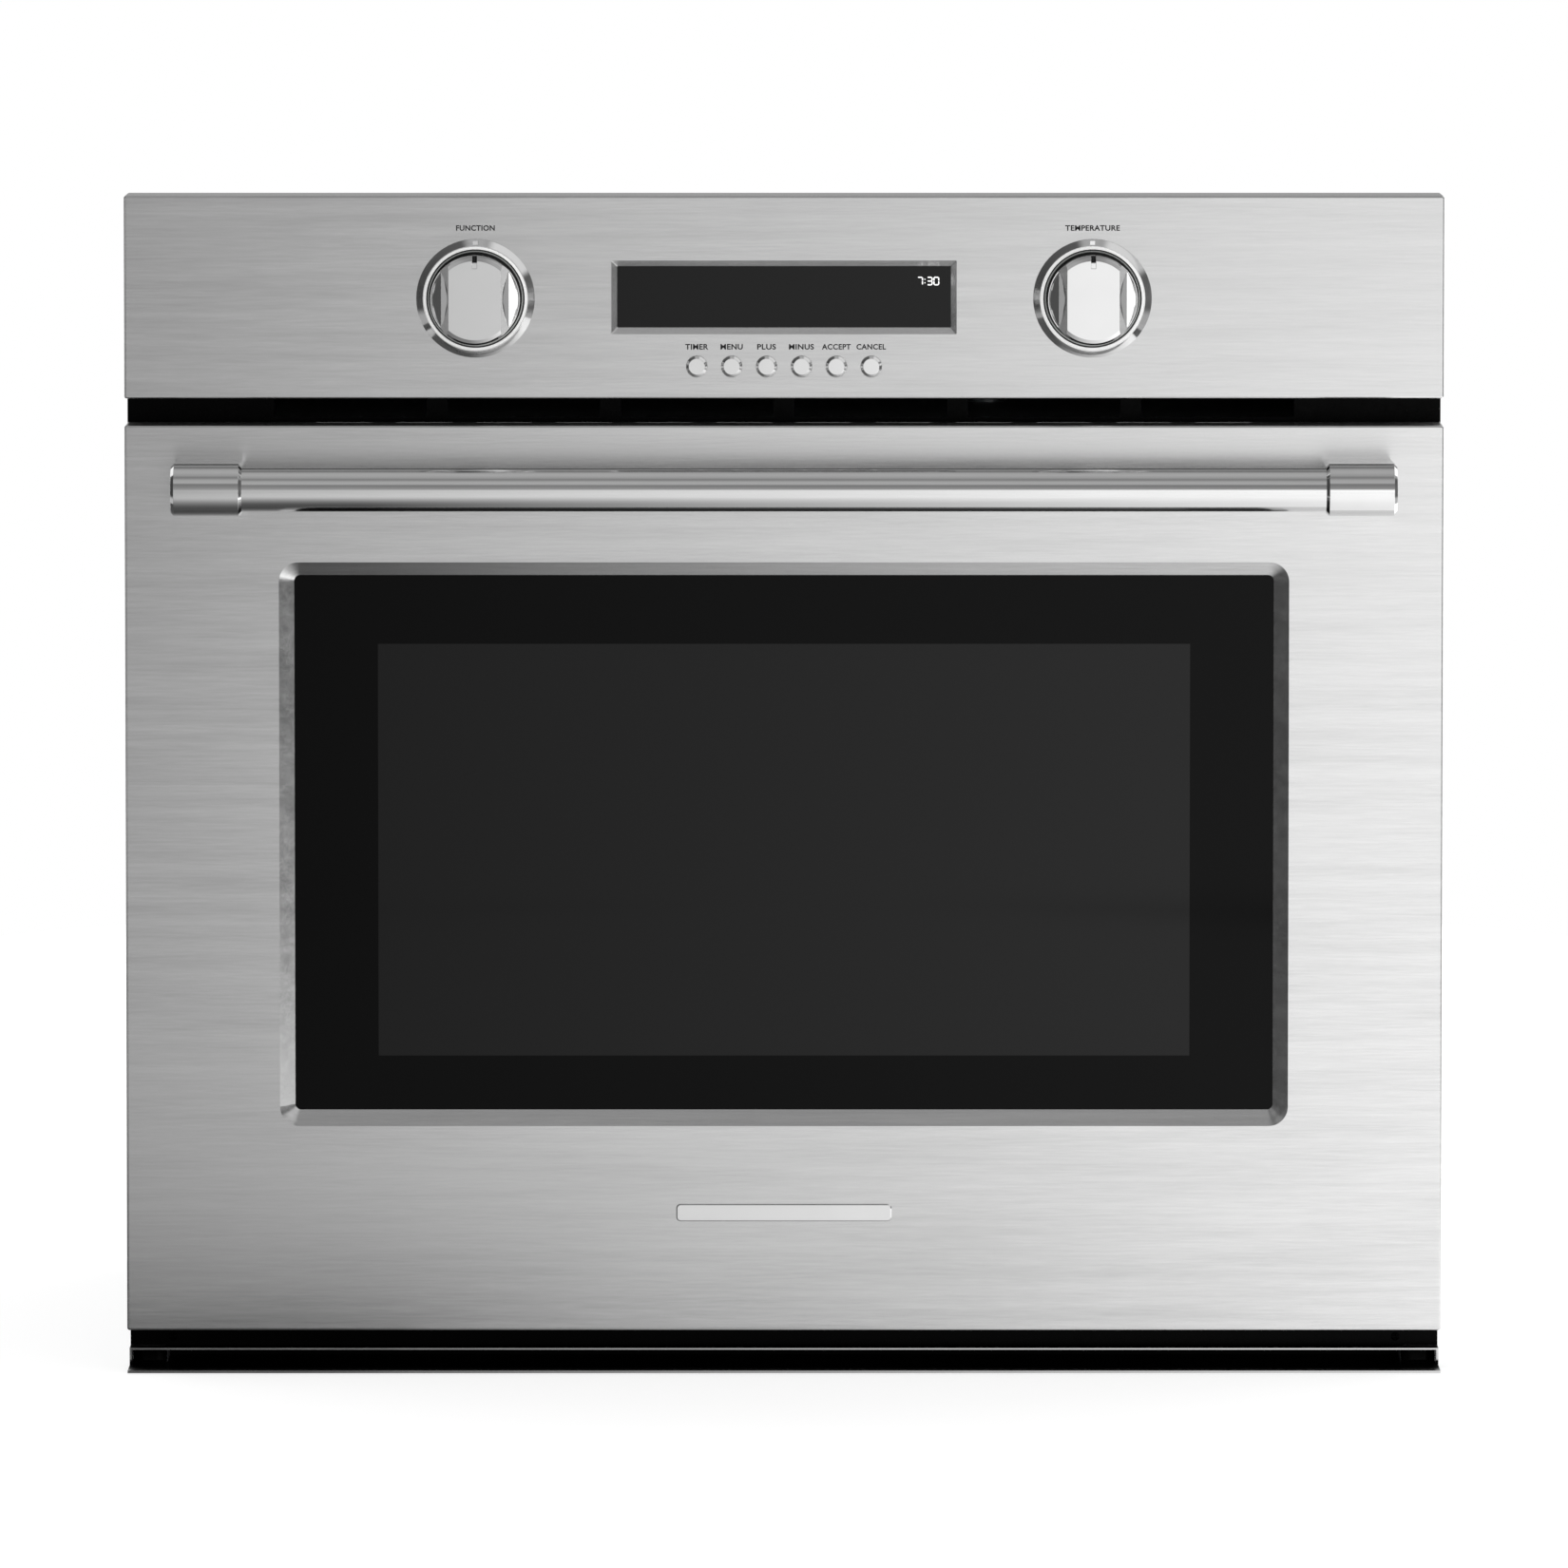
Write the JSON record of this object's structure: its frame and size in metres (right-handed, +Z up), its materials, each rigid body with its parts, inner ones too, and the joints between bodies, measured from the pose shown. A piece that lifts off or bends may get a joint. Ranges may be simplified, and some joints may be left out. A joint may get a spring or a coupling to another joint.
{
  "type": "built-in wall oven",
  "caption": "Built-in single wall oven with a drop-down glazed door, bar handle, two turning knobs, push buttons, display, wire racks, convection fan and cooling blower.",
  "frame": {"origin": "on the shelf that the oven stands on, at the middle of its width, in the plane of the cabinet's face", "axes": "+X to the user's right, +Y into the cabinet, +Z up; the door and knobs face -Y"},
  "size_m": [0.757, 0.695, 0.679],
  "materials": {
    "brushed_steel": "satin",
    "polished_steel": "polished",
    "trim_steel": "satin",
    "galvanised_steel": "matte",
    "black_enamel": "gloss",
    "cavity_enamel": "gloss",
    "black_glass": "gloss",
    "clear_glass": "gloss",
    "rack_chrome": "polished",
    "element_sheath": "matte",
    "plated_steel": "satin",
    "aluminium": "satin",
    "motor_steel": "satin",
    "seal": "matte",
    "mineral_wool": "matte",
    "black_plastic": "matte",
    "circuit_board": "satin",
    "light_guide": "gloss"
  },
  "bodies": {
    "chassis": {"base_pan": "galvanised_steel", "side_panels": "galvanised_steel", "top_cover": "galvanised_steel", "rear_cover": "galvanised_steel", "conduit_gland": "aluminium", "front_frame": "black_enamel", "lower_trim": "trim_steel", "cavity_liner": "cavity_enamel", "insulation_blanket": "mineral_wool", "door_gasket": "seal", "broil_element": "element_sheath", "bake_element": "element_sheath", "ring_element": "element_sheath", "fan_baffle": "cavity_enamel", "fan_motor": "motor_steel", "rack_guides": "rack_chrome", "lamp_lenses": "clear_glass", "lamp_housings": "galvanised_steel", "temperature_probe": "plated_steel", "cavity_vent": "galvanised_steel", "air_channel": "galvanised_steel", "blower_housing": "galvanised_steel", "blower_motor": "motor_steel", "power_board": "circuit_board", "hinge_arms": "plated_steel", "hinge_receivers": "galvanised_steel", "control_fascia": "brushed_steel", "display_window": "black_glass", "control_housing": "black_plastic", "control_board": "circuit_board", "knob_bezels": "polished_steel", "halo_rings": "light_guide", "encoders": "black_plastic", "latch_housing": "galvanised_steel"},
    "door": {"door_skin": "brushed_steel", "outer_glass": "black_glass", "middle_glasses": "clear_glass", "inner_glass": "clear_glass", "door_liner": "black_enamel", "glass_rails": "aluminium", "hinge_casings": "galvanised_steel", "handle_bar": "brushed_steel", "handle_brackets": "polished_steel", "handle_screws": "plated_steel", "nameplate": "polished_steel"},
    "function_dial": {"function_knob": "polished_steel", "function_spindle": "plated_steel"},
    "temperature_dial": {"temperature_knob": "polished_steel", "temperature_spindle": "plated_steel"},
    "fan": {"convection_fan": "plated_steel"},
    "blower": {"blower_wheel": "aluminium"},
    "latch": {"door_latch": "plated_steel"},
    "lower_shelf": {"lower_rack": "rack_chrome"},
    "upper_shelf": {"upper_rack": "rack_chrome"},
    "timer": {"timer_button": "polished_steel"},
    "menu": {"menu_button": "polished_steel"},
    "plus": {"plus_button": "polished_steel"},
    "minus": {"minus_button": "polished_steel"},
    "accept": {"accept_button": "polished_steel"},
    "cancel": {"cancel_button": "polished_steel"}
  },
  "joints": [
    {"name": "door_hinge", "type": "hinge", "parent": "chassis", "child": "door", "pos_m": [0, -0.029, 0.0342], "axis": [1, 0, 0], "range_deg": [0, 90], "stiffness_Nm_per_rad": 15, "springref_deg": -17.19},
    {"name": "function_turn", "type": "hinge", "parent": "chassis", "child": "function_dial", "pos_m": [-0.1768, -0.048, 0.6202], "axis": [0, -1, 0], "continuous": true},
    {"name": "temperature_turn", "type": "hinge", "parent": "chassis", "child": "temperature_dial", "pos_m": [0.1768, -0.048, 0.6202], "axis": [0, -1, 0], "continuous": true},
    {"name": "fan_spin", "type": "hinge", "parent": "chassis", "child": "fan", "pos_m": [0, 0.445, 0.2975], "axis": [0, 1, 0], "continuous": true},
    {"name": "blower_spin", "type": "hinge", "parent": "chassis", "child": "blower", "pos_m": [0, 0.495, 0.602], "axis": [1, 0, 0], "continuous": true},
    {"name": "latch_turn", "type": "hinge", "parent": "chassis", "child": "latch", "pos_m": [0.03, 0.0185, 0.533], "axis": [0, 0, 1], "range_deg": [0, 75]},
    {"name": "lower_rack_slide", "type": "slide", "parent": "chassis", "child": "lower_shelf", "axis": [0, -1, 0], "range_m": [0, 0.025]},
    {"name": "upper_rack_slide", "type": "slide", "parent": "chassis", "child": "upper_shelf", "axis": [0, -1, 0], "range_m": [0, 0.025]},
    {"name": "timer_press", "type": "slide", "parent": "chassis", "child": "timer", "axis": [0, 1, 0], "range_m": [0, 0.001], "stiffness_N_per_m": 1500, "springref_m": -0.0006},
    {"name": "menu_press", "type": "slide", "parent": "chassis", "child": "menu", "axis": [0, 1, 0], "range_m": [0, 0.001], "stiffness_N_per_m": 1500, "springref_m": -0.0006},
    {"name": "plus_press", "type": "slide", "parent": "chassis", "child": "plus", "axis": [0, 1, 0], "range_m": [0, 0.001], "stiffness_N_per_m": 1500, "springref_m": -0.0006},
    {"name": "minus_press", "type": "slide", "parent": "chassis", "child": "minus", "axis": [0, 1, 0], "range_m": [0, 0.001], "stiffness_N_per_m": 1500, "springref_m": -0.0006},
    {"name": "accept_press", "type": "slide", "parent": "chassis", "child": "accept", "axis": [0, 1, 0], "range_m": [0, 0.001], "stiffness_N_per_m": 1500, "springref_m": -0.0006},
    {"name": "cancel_press", "type": "slide", "parent": "chassis", "child": "cancel", "axis": [0, 1, 0], "range_m": [0, 0.001], "stiffness_N_per_m": 1500, "springref_m": -0.0006}
  ]
}
